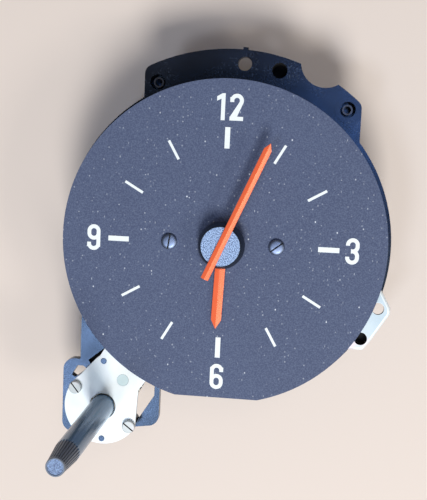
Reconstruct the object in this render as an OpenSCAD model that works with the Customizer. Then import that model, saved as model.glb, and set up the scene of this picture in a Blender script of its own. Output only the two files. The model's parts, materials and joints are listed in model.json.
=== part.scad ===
// Car dashboard clock, lying on its back: Z points out of the dial, Y to twelve o'clock.
// The hand arbor is the Z axis and the rear face is Z = 0. All sizes in millimetres.

/* [Dial] */
// dial diameter
dial_d = 100; // [96:0.5:101]
// dial sheet thickness
dial_t = 1; // [0.8:0.1:1.4]
// height of the dial face over the rear face
dial_top_z = 40; // [39:0.5:46]
// distance from the arbor to the flat at the bottom of the dial
dial_flat = 48.3; // [46:0.1:49]
// distance of each dial screw from the arbor
dial_screw_x = 16.5; // [15:0.1:19]
// diameter of the dial screw heads
dial_head_d = 4.9; // [4:0.1:6]
// thread diameter of the dial screws
dial_thread_d = 2.5; // [2:0.1:3]

/* [Dial print] */
// radius of the middle of the hour marks
mark_r = 32.3; // [30:0.1:33.5]
// length of the hour marks
mark_len = 6.4; // [5:0.1:8]
// width of the four main marks
mark_wide = 1.55; // [1:0.05:2]
// width of the other marks
mark_thin = 0.8; // [0.5:0.05:1.2]
// radius of the middle of the numbers
number_r = 41.5; // [41:0.1:42.5]
// height of the numbers
number_h = 8; // [7:0.1:8.5]
// width of one figure
number_w = 4.1; // [3.6:0.1:5]
// stroke width of the figures
number_stroke = 1.2; // [0.9:0.05:1.4]
// thickness of the print
print_t = 0.1; // [0.08:0.01:0.15]

/* [Hands] */
// length of the minute hand from the arbor to its tip
minute_len = 33.9; // [30:0.1:38]
// length of the minute hand's tail
minute_tail = 10.8; // [8:0.1:13]
// width of the minute hand
minute_w = 2.4; // [2:0.05:3]
// length of the hour hand from the arbor to its tip
hour_len = 26; // [22:0.1:28]
// width of the hour hand
hour_w = 3.1; // [2.5:0.05:3.6]
// thickness of a hand at its ridge
hand_t = 1.1; // [0.8:0.05:1.4]
// length of the pointed end of a hand
hand_point = 2.7; // [2:0.1:4]
// angle of the minute hand clockwise from twelve
minute_angle = 23.4; // [0:0.1:360]
// diameter of the hub cap
hub_d = 14.2; // [12:0.1:16]
// height of the hub cap
hub_h = 4.4; // [3.5:0.1:5.5]

/* [Case frame] */
// radius of the frame's round rim
frame_r = 51.7; // [51:0.1:53]
// thickness of the frame's face
frame_t = 3; // [2.5:0.1:4]
// outer radius of the top flange
flange_r = 59.6; // [58.5:0.1:61]
// distance of the flange's left side from the arbor
flange_left = 27.3; // [26.5:0.1:29]
// distance of the flange's right side from the arbor
flange_right = 40; // [39.5:0.1:42]
// corner radius of the flange
flange_corner = 3; // [2:0.1:4]
// diameter of the flange's screw hole
flange_hole_d = 4.3; // [4:0.1:5]
// diameter of the flange's locating hole
locate_d = 4.7; // [4:0.1:5]
// diameter of the boss holes
boss_bore_d = 4.8; // [4.4:0.1:5.2]
// outer diameter of the boss sleeves
sleeve_d = 3.2; // [2.8:0.1:3.6]
// inner diameter of the boss sleeves
sleeve_bore_d = 2.2; // [1.8:0.1:2.4]
// outer radius of the case wall behind the rim
case_r = 48; // [47.5:0.1:49]
// thickness of the case wall
case_wall = 2.4; // [2:0.1:3]
// thickness of the rear cover's floor
floor_t = 2; // [1.6:0.1:2.5]

/* [Setting knob] */
// distance of the knob axis left of the arbor
knob_x = 36.4; // [35.6:0.1:37.2]
// distance of the knob axis below the arbor
knob_y = 54.6; // [53.8:0.1:55.4]
// height of the knob's tip over the dial face
knob_rise = 51; // [44:0.5:58]
// diameter of the knob shaft at the setting plate
knob_d = 7.7; // [7:0.1:8]
// diameter of the knob where its grip starts
grip_d = 7.1; // [6.4:0.1:7.6]
// diameter of the knob's tip
tip_d = 5.1; // [4.4:0.1:6]
// length of the fluted grip
grip_len = 11.7; // [9:0.1:14]
// number of flutes on the grip
flutes = 26; // [18:1:30]
// travel of the knob when it is pushed
push_travel = 1.5; // [1:0.1:1.5]
// radius of the setting plate around the knob
plate_r = 12.4; // [12:0.1:13]
// thickness of the setting plate
plate_t = 1.4; // [1.2:0.1:1.6]
// distance of the plate screws from the knob axis
plate_screw_r = 10.6; // [10.4:0.1:10.8]
// head diameter of the plate screws
plate_head_d = 4.1; // [3.6:0.1:4.4]

/* [Wheels] */
// module of the hand and setting wheels
gear_m = 0.5; // [0.48:0.01:0.5]
// module of the driven train
train_m = 0.3; // [0.28:0.01:0.32]
// thickness of the wheels
wheel_t = 1.4; // [1.2:0.1:1.5]
// thickness of the steel base plate
base_t = 1.2; // [1:0.1:1.4]
// radial clearance of a turning fit
run_gap = 0.05; // [0.03:0.005:0.07]
// radial clearance of a fixed fit
fix_gap = 0.02; // [0.01:0.005:0.03]

/* [Hidden] */
$fn = 64;

// a cut goes this far past the face it opens
cut = 1;
pressure = 20;
wheel_slack = 0.05;
train_slack = 0.035;
// tooth height above and below the pitch circle, in modules
tip_pinion = 0.9;
tip_wheel = 0.8;
tip_fine = 0.7;
dedendum = 1.15;
// width of a screw slot as a share of its head
slot_share = 0.17;
// radial room of a screw in a plain hole
screw_room = 0.15;

// heights, from the dial down to the frame and up through the wheels
wheel_lift = 0.8;
wheel_gap = 0.5;
dial_gap = 1.7;
plate_clear = 0.6;
dial_under = dial_top_z - dial_t;
frame_z = dial_under - dial_gap - 2 * wheel_t - wheel_gap - wheel_lift - base_t;
frame_under = frame_z - frame_t;
base_top = frame_z + base_t;
level_a = base_top + wheel_lift;
level_b = level_a + wheel_t + wheel_gap;
plate_z = level_a + wheel_t + plate_clear;
plate_top = plate_z + plate_t;

// movement behind the base plate
rear_plate_t = 1.2;
rear_plate_drop = 12;
rear_plate_z = frame_z - rear_plate_drop;
rear_plate_top = rear_plate_z + rear_plate_t;
open_inset = 5;
frame_open_r = case_r - open_inset;
base_seat = 3;
base_r_plate = frame_open_r + base_seat;
cover_drop = 14;
cover_z = frame_z - cover_drop;
lip_h = 2.5;
lip_gap = 0.1;
board_t = 1.6;
board_drop = 7.6;
board_z = rear_plate_z - board_drop;
board_w = 46;
board_h = 32;
board_y = -2;

// tooth counts
teeth_cannon = 12;
teeth_minute = 36;
teeth_minute_pinion = 10;
teeth_hour = 40;
teeth_large = 64;
teeth_small = 24;
teeth_setting = 20;
teeth_pinion = 10;
teeth_intermediate = 75;
teeth_centre = 80;

// the hour wheel and its pinion share the centre distance of the cannon pinion and minute wheel
minute_span = gear_m * (teeth_cannon + teeth_minute) / 2;
hour_m = 2 * minute_span / (teeth_minute_pinion + teeth_hour);
large_span = gear_m * (teeth_minute + teeth_large) / 2;
small_span = gear_m * (teeth_large + teeth_small) / 2;
setting_span = gear_m * (teeth_small + teeth_setting) / 2;
train_a = train_m * (teeth_pinion + teeth_centre) / 2;
train_b = train_m * (teeth_pinion + teeth_intermediate) / 2;

// wheel positions
knob = [-knob_x, -knob_y];
stud_dir = 55;
small_at = knob + setting_span * [cos(stud_dir), sin(stud_dir)];
small_r = norm(small_at);
small_dir = atan2(small_at[1], small_at[0]);
large_r = small_r - small_span;
large_at = large_r * [cos(small_dir), sin(small_dir)];
minute_cos = (pow(minute_span, 2) + pow(large_r, 2) - pow(large_span, 2)) / (2 * minute_span * large_r);
minute_turn = acos(minute_cos);
minute_dir = small_dir + minute_turn;
minute_at = minute_span * [cos(minute_dir), sin(minute_dir)];
train_dir = 60;
intermediate_at = train_a * [cos(train_dir), sin(train_dir)];
rotor_dir = -20;
rotor_at = intermediate_at + train_b * [cos(rotor_dir), sin(rotor_dir)];

// tooth phases, each wheel in mesh with the one before
function mesh_phase(phase, n1, n2, dir) = dir + 180 - 360 / n2 * (0.5 - (dir - phase) * n1 / 360);
function dir_of(a, b) = atan2(b[1] - a[1], b[0] - a[0]);
cannon_phase = -minute_angle;
minute_phase = mesh_phase(cannon_phase, teeth_cannon, teeth_minute, minute_dir);
hour_phase = mesh_phase(minute_phase, teeth_minute_pinion, teeth_hour, minute_dir + 180);
large_phase = mesh_phase(minute_phase, teeth_minute, teeth_large, dir_of(minute_at, large_at));
small_phase = mesh_phase(large_phase, teeth_large, teeth_small, dir_of(large_at, small_at));
setting_phase = mesh_phase(small_phase, teeth_small, teeth_setting, dir_of(small_at, knob));
intermediate_phase = mesh_phase(0, teeth_pinion, teeth_intermediate, dir_of(rotor_at, intermediate_at));
centre_phase = mesh_phase(intermediate_phase, teeth_pinion, teeth_centre, train_dir + 180);

// shafts on the hand axis
arbor_r = 1.25;
cannon_pipe_r = 2;
hour_pipe_r = 2.8;
bush_r = 2.4;
post_r = 1.5;
thin_post_r = 1;
hour_clear = 1.3;
hub_clear = 1;
hour_hand_z = dial_top_z + hour_clear;
hub_z = hour_hand_z + hand_t + hub_clear;
hub_top = hub_z + hub_h;
hook_drop = 0.45;
pair_shift = 0.35;
figure_3_in = 2.1;
figure_9_in = 1.4;
hub_rim = 1.2;
hub_taper = 1;
hub_roof = 0.8;
arbor_end = 0.4;
end_play = 0.2;
hub_top_r = hub_d / 2 - hub_taper;
hours = 12;
shown_hour = 6;
hour_angle = (shown_hour * 360 + minute_angle) / hours;

// knob shaft and its spring
shaft_r = 2;
stub_r = 1.3;
cone_top_r = 3.5;
cone_low_r = 2.5;
cone_h = cone_top_r - cone_low_r;
cone_gap = 0.1;
clip_t = 0.7;
washer_t = 0.8;
clip_drop = 0.2;
clip_z = frame_under - clip_drop - clip_t;
clip_groove = 0.4;
shoulder_drop = 4;
shoulder_z = frame_under - shoulder_drop;
washer_z = shoulder_z - washer_t;
stub_end = 1;
stub_len = washer_t + stub_end;
spring_len = 9.7;
cap_top = washer_z - spring_len;
cap_t = 1.5;
tube_r = 6;
tube_bore_r = 4.6;
cone_z = level_a + wheel_t - cone_h + push_travel + cone_gap;
knob_top = dial_top_z + knob_rise;

// frame features, by angle and radius from the arbor or by place
boss_inset = 4.2;
boss_left = [-flange_left + boss_inset, 48.7];
boss_right = [flange_right - boss_inset, 42.5];
boss_r = 4;
boss_depth = 7;
boss_rim = 0.25;
boss_floor = 1;
sleeve_drop = 1.6;
screw_hole_at = [3.7, flange_r - 4.4];
locate_at = [14.5, flange_r - 6.1];
locate_wall = 1.4;
locate_depth = 7;
dip_at = [28.5, flange_r - 3.1];
dip_r = 7.7;
nub_dir = 86.4;
nub_w = 1.6;
nub_h = 0.7;
flat_edge = 1.2;
frame_flat = dial_flat + flat_edge;
cover_screw_inset = 5.4;
cover_screw_r = case_r - cover_screw_inset;
cover_screw_dirs = [40, 155, 275];
cover_thread_d = 2.9;
cover_head_d = 5.4;
cover_boss_r = 3.6;
cover_head_room = 3;
cover_screw_grip = 5;

// lug of the base plate at lower right
lug_hole_at = [48.9, -18.3];
lug_hole_d = 3.7;
lug_pin_at = [44.1, -28.1];
lug_pin_d = 4;
lug_start = [40, -6];
lug_top = [49.4, -12.1];
lug_out_high = [52.7, -17.9];
lug_out_low = [52.7, -19.9];
lug_low_high = [46.9, -29.4];
lug_low_end = [45, -31.8];
lug_foot = [40.5, -31.9];
lug_end = [32, -28];
lug_lip = 1.1;
lug_lip_h = 2.2;
lip_room = 0.6;
lug_frame_room = 0.6;
lug_pin_step = 0.3;
lug_pad = 1.6;
lug_pad_out = 0.5;
lug_floor_wall = 0.9;
lug_floor_gap = 0.2;

// tongue around the small gear case, measured from the arbor
tongue_side = 45.3;
tongue_left = 50.9;
tongue_right = 18.9;
tongue_corner = 3.6;
tongue_top = knob[1] + 10;
tongue_low = knob[1] - 7.4;
tongue_rise = 3.8;
tongue_root = 40;
rib_w = 1.7;
// windows beside the small gear case, measured from the knob axis
window_top = [12.1, 6.4];
window_mid = [9.8, 2.2];
window_low = [9.5, -7.2];
window_bend = 3;
window_root = 44.6;
slot_x = 9.8;
slot_y = 11.4;
slot_w = 1.9;
slot_h = 3.2;
slot_right = [-6.6, 10.4];
slot_low = [-10.5, 7.4];
// setting plate beside its round part, measured from the knob axis
plate_tangent = 141;
plate_toe_dir = -46;
plate_lap = 0.2;
plate_nose_left = [-2.6, 15.4];
plate_nose = [-1.2, 16.6];
groove_out = [[-0.4, 18.3], [-6.3, 13.4]];
groove_in = [[-5.3, 12], [-2.5, 14.1], [-1.2, 15.1], [0.4, 15.8]];
plate_horn = [13.6, 9.1];
plate_notch = [11.4, 6];
plate_heel = [10.7, -6.1];
plate_tuck = 2.5;
tuck_dir = 235;
tuck_span = 11.5;
case_inset = 0.7;
case_start_gap = 4.2;
case_start_r = base_r_plate + case_start_gap;
gear_room = 0.7;
large_room = 1.9;
peg_r = 0.9;
peg_rise = 0.2;
peg_ys = [14.8, -10.7];
screw_dir = 146.5;
screw_wall = 0.7;
plate_thread_d = 2.2;
plate_screw_len = 5;
plate_hole_r = 4.2;
plate_head_h = 1.5;
stud_head_r = 1.85;
stud_sink = 1.4;
seat_wall = 1.4;
seat_gap = 0.1;
clip_play = 0.05;

// pillars, motor and board
rear_plate_room = 2.2;
rear_plate_r = cover_screw_r - cover_boss_r - rear_plate_room;
pillar_r = 2.6;
pillar_edge = 4.8;
pillar_ring = rear_plate_r - pillar_edge;
pillar_dirs = [110, 215, 325];
pillar_thread_d = 2.2;
pillar_head_d = 4.4;
pillar_head_h = 1.4;
pillar_screw_grip = 4;
magnet_r = 5;
magnet_h = 3.8;
magnet_bore_r = 1;
magnet_lift = 1.4;
magnet_z = rear_plate_top + magnet_lift;
air_gap = 0.6;
stator_t = 1.8;
stator_z = magnet_z + (magnet_h - stator_t) / 2;
stator_hole_r = magnet_r + air_gap;
stator_r = 8.6;
yoke_w = 3;
yoke_dy = 10.4;
coil_reach = 13.4;
coil_x = rotor_at[0] + coil_reach;
coil_len = 14;
coil_r = 3.8;
flange_coil_r = 4.6;
bobbin_wall = 0.8;
coil_room = 0.6;
rivet_r = 0.9;
rivet_post_r = 1.5;
rivet_head_h = 0.4;
train_clear = 1;
train_low = magnet_z + magnet_h + train_clear;
train_t = 1.1;
train_gap = 0.8;
train_high = train_low + train_t + train_gap;
pivot_r = 0.6;
post_board_r = 2.2;
post_board_x = 19;
pin_w = 2.8;
pin_t = 0.8;
pin_pitch = 6;
pin_count = 3;
pin_edge = 5;
socket_margin = 1;
socket_w = pin_count * pin_pitch + 2 * socket_margin;
socket_h = 10;
socket_wall = 1.4;
socket_depth = 5.5;
pins_y = board_y - board_h / 2 + pin_edge;

// outline of a toothed wheel: root, flank and tip of each tooth on an involute
function involute(a) = tan(a) * 180 / PI - a;
function gear_base(n, m) = m * n / 2 * cos(pressure);
function half_tooth(n, m, slack, r) = 90 / n - slack / (m * n / 2) * 180 / PI + involute(pressure)
    - involute(acos(gear_base(n, m) / max(r, gear_base(n, m))));
function polar(r, a) = [r * cos(a), r * sin(a)];
function gear_pts(n, m, slack, rs) = [for (i = [0 : n - 1]) for (k = [0 : 5])
    let (r = rs[k < 3 ? k : 5 - k], h = half_tooth(n, m, slack, r))
    polar(r, i * 360 / n + (k < 3 ? -h : h))];
module gear_2d(n, m, slack, phase, add) {
    root = m * (n / 2 - dedendum);
    tip = m * (n / 2 + add);
    rotate(phase)
        polygon(gear_pts(n, m, slack, [root, (root + tip) / 2, tip]));
}
module toothed(n, m, slack, phase, add, bore, h) {
    linear_extrude(height = h)
        difference() {
            gear_2d(n, m, slack, phase, add);
            circle(r = bore);
        }
}
module disc(r, h) {
    cylinder(r = r, h = h);
}
module tube(r, bore, h) {
    difference() {
        disc(r, h);
        translate([0, 0, -cut])
            disc(bore, h + 2 * cut);
    }
}
module at(p, z) {
    translate([p[0], p[1], z])
        children();
}
module pie(r, a0, a1) {
    steps = 8;
    polygon(concat([[0, 0]], [for (i = [0 : steps]) polar(2 * r, a0 + (a1 - a0) * i / steps)]));
}
module arc_band(r, w, a0, a1) {
    intersection() {
        difference() {
            circle(r = r);
            circle(r = r - w);
        }
        pie(r, a0, a1);
    }
}
// a slotted screw with its head up: head on z = 0, thread below
module slotted_screw(head_d, head_h, thread_d, thread_len, slot_dir) {
    slot_w = head_d * slot_share;
    difference() {
        union() {
            disc(head_d / 2, head_h);
            translate([0, 0, -thread_len])
                disc(thread_d / 2, thread_len + head_h / 2);
        }
        translate([0, 0, head_h])
            rotate(slot_dir)
                cube([head_d + cut, slot_w, head_h], center = true);
    }
}

// figures of the dial
module figure_1() {
    flag_x = -number_stroke * 1.6;
    flag_drop = number_stroke * 0.8;
    flag_w = number_stroke * 1.1;
    side = number_stroke / 2;
    top = number_h / 2;
    polygon([[-side, -top], [side, -top], [side, top], [-side / 2, top], [flag_x, top - flag_drop],
        [flag_x, top - flag_drop - flag_w], [-side, top - flag_drop - flag_w / 2]]);
}
module figure_2() {
    r = number_w / 2;
    bend = -35;
    lap = 6;
    arc_at = [0, number_h / 2 - r];
    translate(arc_at)
        arc_band(r, number_stroke, bend, 180);
    translate(arc_at - [r, hook_drop])
        square([number_stroke, hook_drop + cut]);
    polygon([arc_at + polar(r, bend + lap), arc_at + polar(r - number_stroke, bend + lap),
        [-r, -number_h / 2 + number_stroke * 0.8], [-r, -number_h / 2],
        [-r + number_stroke * 1.4, -number_h / 2]]);
    translate([-r, -number_h / 2])
        square([number_w, number_stroke]);
}
// a closed loop as wide as the figures, straight at its sides
module bowl_2d(h, inset) {
    w = number_w - 2 * inset;
    t = h - 2 * inset;
    r = min(w, t) / 2;
    straight = max(abs(t - w), cut);
    for (s = [-1, 1])
        translate([s * (w / 2 - r), s * (t / 2 - r)])
            circle(r = r);
    square(w < t ? [w, straight] : [straight, t], center = true);
}
module loop_2d(h) {
    difference() {
        bowl_2d(h, 0);
        bowl_2d(h, number_stroke);
    }
}
module figure_3() {
    loop_h = (number_h + number_stroke) / 2;
    shift = (number_h - loop_h) / 2;
    gap_h = number_h * 0.42;
    gap_end = -number_w * 0.11;
    difference() {
        union() {
            translate([0, shift])
                loop_2d(loop_h);
            translate([0, -shift])
                loop_2d(loop_h);
        }
        translate([-number_w, -gap_h / 2])
            square([number_w + gap_end, gap_h]);
    }
}
module figure_6() {
    loop_h = number_h * 0.6;
    r = number_w / 2;
    loop_y = (loop_h - number_h) / 2;
    arc_y = number_h / 2 - r;
    translate([0, loop_y])
        loop_2d(loop_h);
    translate([-r, loop_y])
        square([number_stroke, arc_y - loop_y + cut]);
    translate([0, arc_y])
        arc_band(r, number_stroke, 0, 180);
    translate([r - number_stroke, arc_y - hook_drop])
        square([number_stroke, hook_drop + cut]);
}
module dial_print() {
    color([0.93, 0.95, 0.95])
        translate([0, 0, dial_top_z])
            linear_extrude(height = print_t) {
                for (i = [0 : 11])
                    rotate(-30 * i)
                        translate([0, mark_r])
                            square([i % 3 == 0 ? mark_wide : mark_thin, mark_len], center = true);
                translate([-number_w / 2 + pair_shift, number_r])
                    figure_1();
                translate([number_w / 2 + pair_shift, number_r])
                    figure_2();
                translate([number_r - figure_3_in, 0])
                    figure_3();
                translate([0, -number_r])
                    figure_6();
                translate([-number_r + figure_9_in, 0])
                    rotate(180)
                        figure_6();
            }
}

// dial and hands
module dial_plate() {
    hole_room = 0.6;
    hole_r = hour_pipe_r + hole_room;
    color([0.22, 0.24, 0.29])
        difference() {
            at([0, 0], dial_under)
                disc(dial_d / 2, dial_t);
            at([0, 0], dial_under - cut)
                disc(hole_r, dial_t + 2 * cut);
            for (s = [-1, 1])
                at([s * dial_screw_x, 0], dial_under - cut)
                    disc(dial_thread_d / 2 + screw_room, dial_t + 2 * cut);
            translate([-dial_d, -dial_flat - dial_d, dial_under - cut])
                cube([2 * dial_d, dial_d, dial_t + 2 * cut]);
        }
}
module dial_screws() {
    head_h = 1.1;
    thread_len = dial_t + 2.5;
    slot_left = 82;
    slot_right_side = 38;
    color([0.3, 0.31, 0.33]) {
        at([-dial_screw_x, 0], dial_top_z)
            slotted_screw(dial_head_d, head_h, dial_thread_d, thread_len, slot_left);
        at([dial_screw_x, 0], dial_top_z)
            slotted_screw(dial_head_d, head_h, dial_thread_d, thread_len, slot_right_side);
    }
}
module dial_posts() {
    post_wall = 1.3;
    post = dial_thread_d / 2 + post_wall;
    color([0.72, 0.6, 0.3])
        for (s = [-1, 1])
            at([s * dial_screw_x, 0], base_top)
                tube(post, dial_thread_d / 2 + fix_gap, dial_under - base_top);
}
// a hand along +Y: a roof-shaped bar with a pointed end
module hand_bar(tail, len, w) {
    edge = hand_t * 0.45;
    intersection() {
        linear_extrude(height = hand_t)
            polygon([[-w / 2, -tail], [w / 2, -tail], [w / 2, len - hand_point], [0, len],
                [-w / 2, len - hand_point]]);
        translate([0, len + cut, 0])
            rotate([90, 0, 0])
                linear_extrude(height = len + tail + 2 * cut)
                    polygon([[-w / 2, 0], [w / 2, 0], [w / 2, edge], [0, hand_t], [-w / 2, edge]]);
    }
}
module minute_hand() {
    color([0.95, 0.42, 0.16])
        translate([0, 0, hub_top])
            rotate(-minute_angle)
                hand_bar(minute_tail, minute_len, minute_w);
}
module hour_hand() {
    ring_w = 1.7;
    ring_r = hour_pipe_r + ring_w;
    ring_h = hand_t * 0.9;
    color([0.95, 0.42, 0.16])
        translate([0, 0, hour_hand_z])
            rotate(-hour_angle)
                difference() {
                    union() {
                        hand_bar(0, hour_len, hour_w);
                        disc(ring_r, ring_h);
                    }
                    translate([0, 0, -cut])
                        disc(hour_pipe_r + fix_gap, hand_t + 2 * cut);
                }
}
module hub_cap() {
    color([0.1, 0.1, 0.12])
        difference() {
            union() {
                at([0, 0], hub_z)
                    disc(hub_d / 2, hub_rim);
                at([0, 0], hub_z + hub_rim)
                    cylinder(r1 = hub_d / 2, r2 = hub_top_r, h = hub_h - hub_rim);
            }
            at([0, 0], hub_z - cut)
                disc(cannon_pipe_r + fix_gap, hub_h - hub_roof + cut);
        }
}

// hand wheels
module minute_arbor() {
    color([0.75, 0.76, 0.78]) {
        at([0, 0], rear_plate_z)
            disc(pivot_r, rear_plate_t + cut);
        at([0, 0], rear_plate_top + end_play)
            disc(arbor_r, hub_top - hub_roof - arbor_end - rear_plate_top - end_play);
    }
}
module cannon_pinion() {
    top = hub_top - hub_roof;
    foot = 0.4;
    color([0.78, 0.63, 0.3]) {
        at([0, 0], level_a)
            toothed(teeth_cannon, gear_m, wheel_slack, cannon_phase, tip_pinion, arbor_r + fix_gap, wheel_t);
        at([0, 0], level_a - foot)
            tube(cannon_pipe_r, arbor_r + fix_gap, top - level_a + foot);
    }
}
module hour_wheel() {
    color([0.86, 0.84, 0.78]) {
        at([0, 0], level_b)
            toothed(teeth_hour, hour_m, wheel_slack, hour_phase, tip_fine, cannon_pipe_r + run_gap, wheel_t);
        at([0, 0], level_b)
            tube(hour_pipe_r, cannon_pipe_r + run_gap, hour_hand_z + hand_t - level_b);
    }
}
module minute_wheel() {
    bore = thin_post_r + run_gap;
    color([0.86, 0.84, 0.78]) {
        at(minute_at, level_a)
            toothed(teeth_minute, gear_m, wheel_slack, minute_phase, tip_wheel, bore, wheel_t);
        at(minute_at, level_a)
            toothed(teeth_minute_pinion, hour_m, wheel_slack, minute_phase, tip_pinion, bore,
                2 * wheel_t + wheel_gap);
    }
}
module large_idler() {
    web_rim = 3;
    web_hub = 2.2;
    web_share = 0.7;
    web_r = gear_m * teeth_large / 2 - web_rim;
    hub_r = post_r + web_hub;
    color([0.86, 0.84, 0.78])
        at(large_at, level_a)
            difference() {
                toothed(teeth_large, gear_m, wheel_slack, large_phase, tip_wheel, post_r + run_gap, wheel_t);
                translate([0, 0, wheel_t * web_share])
                    tube(web_r, hub_r, wheel_t);
            }
}
module small_idler() {
    color([0.86, 0.84, 0.78])
        at(small_at, level_a)
            toothed(teeth_small, gear_m, wheel_slack, small_phase, tip_wheel, post_r + run_gap, wheel_t);
}
module setting_gear() {
    bore = shaft_r + run_gap;
    color([0.86, 0.84, 0.78])
        at(knob, level_a)
            difference() {
                toothed(teeth_setting, gear_m, wheel_slack, setting_phase, tip_wheel, bore, wheel_t);
                translate([0, 0, wheel_t - cone_h])
                    cylinder(r1 = cone_low_r, r2 = cone_top_r + cut, h = cone_h + cut);
            }
}
module wheel_posts() {
    collar_r = post_r + 0.8;
    collar_h = wheel_lift - 0.1;
    over = 1;
    color([0.75, 0.76, 0.78]) {
        at(large_at, frame_z + fix_gap)
            disc(post_r, level_a + wheel_t + over - frame_z);
        at(large_at, base_top)
            disc(collar_r, collar_h);
        at(minute_at, frame_z + fix_gap)
            disc(thin_post_r, level_b + wheel_t + over - frame_z);
        at(minute_at, base_top)
            disc(collar_r, collar_h);
    }
}
module post_clips() {
    clip_h = 0.4;
    clip_w = 0.9;
    rise = 0.15;
    color([0.5, 0.51, 0.53]) {
        at(large_at, level_a + wheel_t + rise)
            tube(post_r + clip_w, post_r + fix_gap, clip_h);
        at(minute_at, level_b + wheel_t + rise)
            tube(thin_post_r + clip_w, thin_post_r + fix_gap, clip_h);
    }
}

// driven train and motor
module centre_bush() {
    rim_t = 0.6;
    rim_r = bush_r + 1;
    color([0.78, 0.63, 0.3]) {
        at([0, 0], frame_z - rim_t)
            tube(rim_r, arbor_r + run_gap, rim_t);
        at([0, 0], frame_z - rim_t)
            tube(bush_r, arbor_r + run_gap, base_t + rim_t);
    }
}
module centre_wheel() {
    hub_r = arbor_r + 1.6;
    foot = 0.5;
    color([0.78, 0.63, 0.3]) {
        at([0, 0], train_high)
            toothed(teeth_centre, train_m, train_slack, centre_phase, tip_fine, arbor_r + run_gap, train_t);
        at([0, 0], train_high - foot)
            tube(hub_r, arbor_r + run_gap, foot + train_t);
    }
}
module intermediate_wheel() {
    over = 0.3;
    bore = pivot_r / 2;
    color([0.86, 0.84, 0.78])
        at(intermediate_at, 0) {
            translate([0, 0, train_low])
                toothed(teeth_intermediate, train_m, train_slack, intermediate_phase, tip_fine, bore,
                    train_t);
            translate([0, 0, train_low])
                toothed(teeth_pinion, train_m, train_slack, intermediate_phase, tip_pinion, bore,
                    train_high + train_t + over - train_low);
            translate([0, 0, rear_plate_z])
                disc(pivot_r, frame_z + base_t / 2 - rear_plate_z);
        }
}
module rotor_magnet() {
    color([0.2, 0.2, 0.21])
        at(rotor_at, magnet_z)
            tube(magnet_r, magnet_bore_r + fix_gap, magnet_h);
}
module rotor_arbor() {
    over = 0.3;
    color([0.75, 0.76, 0.78])
        at(rotor_at, 0) {
            translate([0, 0, rear_plate_z])
                disc(pivot_r, frame_z + base_t / 2 - rear_plate_z);
            translate([0, 0, rear_plate_top + over])
                disc(magnet_bore_r, train_low - rear_plate_top - 2 * over);
            translate([0, 0, train_low - over])
                toothed(teeth_pinion, train_m, train_slack, 0, tip_pinion, pivot_r / 2, train_t + 2 * over);
        }
}
module motor_stator() {
    reach = coil_x + yoke_w / 2 - rotor_at[0];
    color([0.45, 0.46, 0.48])
        at(rotor_at, stator_z)
            linear_extrude(height = stator_t)
                difference() {
                    union() {
                        circle(r = stator_r);
                        for (s = [-1, 1])
                            translate([0, s * yoke_dy])
                                translate([-yoke_w, -yoke_w / 2])
                                    square([reach + yoke_w, yoke_w]);
                        translate([-yoke_w, -yoke_dy])
                            square([2 * yoke_w, 2 * yoke_dy]);
                        translate([reach - yoke_w, -yoke_dy])
                            square([yoke_w, 2 * yoke_dy]);
                    }
                    circle(r = stator_hole_r);
                    for (s = [-1, 1])
                        translate([0, s * yoke_dy])
                            circle(r = rivet_r + fix_gap);
                }
}
module stator_rivets() {
    color([0.76, 0.64, 0.34])
        for (s = [-1, 1])
            at(rotor_at + [0, s * yoke_dy], rear_plate_top) {
                disc(rivet_post_r, stator_z - rear_plate_top);
                disc(rivet_r, stator_z + stator_t + rivet_head_h - rear_plate_top);
                translate([0, 0, stator_z + stator_t - rear_plate_top])
                    disc(rivet_post_r, rivet_head_h);
            }
}
module coil_along(r, len) {
    translate([coil_x, rotor_at[1], stator_z + stator_t / 2])
        rotate([90, 0, 0])
            cylinder(r = r, h = len, center = true);
}
module coil_bobbin() {
    core_gap = 0.1;
    color([0.9, 0.88, 0.8])
        difference() {
            union() {
                coil_along(yoke_w / 2 + bobbin_wall, coil_len);
                for (s = [-1, 1])
                    translate([0, s * (coil_len - bobbin_wall) / 2, 0])
                        coil_along(flange_coil_r, bobbin_wall);
            }
            translate([coil_x, rotor_at[1], stator_z + stator_t / 2])
                cube([yoke_w + 2 * core_gap, coil_len + cut, stator_t + 2 * core_gap], center = true);
        }
}
module coil_winding() {
    color([0.72, 0.4, 0.2])
        difference() {
            coil_along(coil_r, coil_len - 2 * (bobbin_wall + fix_gap));
            coil_along(yoke_w / 2 + bobbin_wall + fix_gap, coil_len + cut);
        }
}

// base plate with the lug that shows at lower right
module lug_outline(shrink) {
    half = shrink / 2;
    polygon([lug_start, lug_top - [half, half], lug_out_high - [shrink, 0], lug_out_low - [shrink, 0],
        lug_low_high - [shrink, 0], lug_low_end + [-half, half], lug_foot + [0, shrink], lug_end]);
}
module base_plate() {
    color([0.8, 0.82, 0.82])
        difference() {
            union() {
                at([0, 0], frame_z)
                    disc(base_r_plate, base_t);
                translate([0, 0, frame_z])
                    linear_extrude(height = base_t)
                        lug_outline(0);
                translate([0, 0, base_top - lug_lip_h])
                    linear_extrude(height = lug_lip_h)
                        difference() {
                            lug_outline(0);
                            lug_outline(lug_lip);
                            circle(r = frame_r + lip_room);
                        }
            }
            at(lug_hole_at, frame_z - lug_lip_h)
                disc(lug_hole_d / 2, 2 * lug_lip_h + base_t);
            at(lug_pin_at, frame_z - lug_lip_h)
                disc(lug_pin_d / 2, 2 * lug_lip_h + base_t);
            at([0, 0], frame_z - cut)
                disc(bush_r + fix_gap, base_t + 2 * cut);
            at(large_at, frame_z - cut)
                disc(post_r + fix_gap, base_t + 2 * cut);
            at(minute_at, frame_z - cut)
                disc(thin_post_r + fix_gap, base_t + 2 * cut);
            for (p = [intermediate_at, rotor_at])
                at(p, frame_z - cut)
                    disc(pivot_r + run_gap, base_t + 2 * cut);
        }
}
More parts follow.
